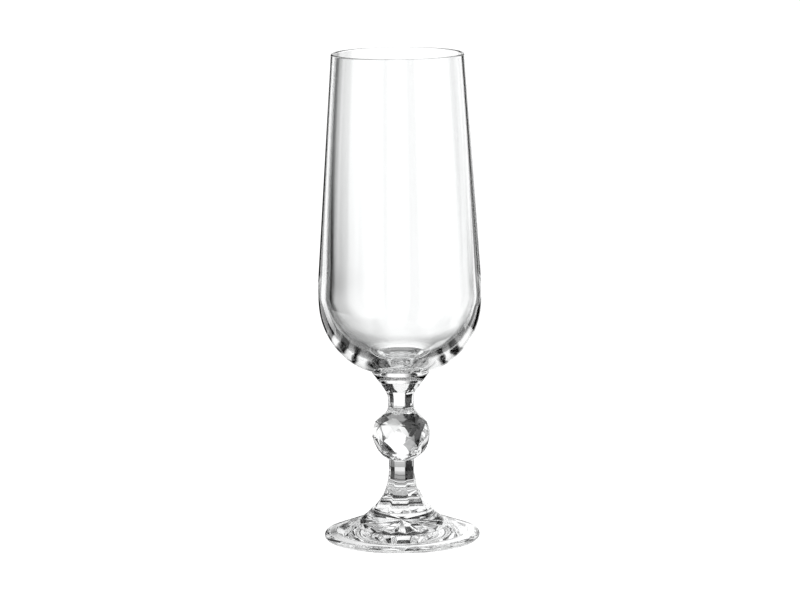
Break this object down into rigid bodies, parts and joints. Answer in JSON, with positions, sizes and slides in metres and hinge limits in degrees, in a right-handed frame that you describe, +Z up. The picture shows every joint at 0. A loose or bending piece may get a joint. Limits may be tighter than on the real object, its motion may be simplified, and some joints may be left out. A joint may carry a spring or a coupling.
{
  "type": "champagne flute",
  "caption": "Clear stemmed champagne flute: tall bowl with a rounded base on a short eight-sided stem with a faceted knop and a round pressed foot, for serving sparkling wine.",
  "frame": {"origin": "on the table plane, under the middle of the foot", "axes": "+Z up along the stem to the mouth of the bowl; +X and +Y point square to flats of the stem, which are 45 degrees apart"},
  "size_m": [0.0574, 0.0574, 0.172],
  "materials": {
    "bowl_glass": "clear, smooth, fire-polished",
    "stem_glass": "clear, pressed and polished facets",
    "foot_glass": "clear, pressed, with a star underneath"
  },
  "bodies": {
    "root": {"bowl": "bowl_glass", "collar": "stem_glass", "upper_stem": "stem_glass", "knop": "stem_glass", "lower_stem": "stem_glass", "foot": "foot_glass"}
  },
  "joints": []
}
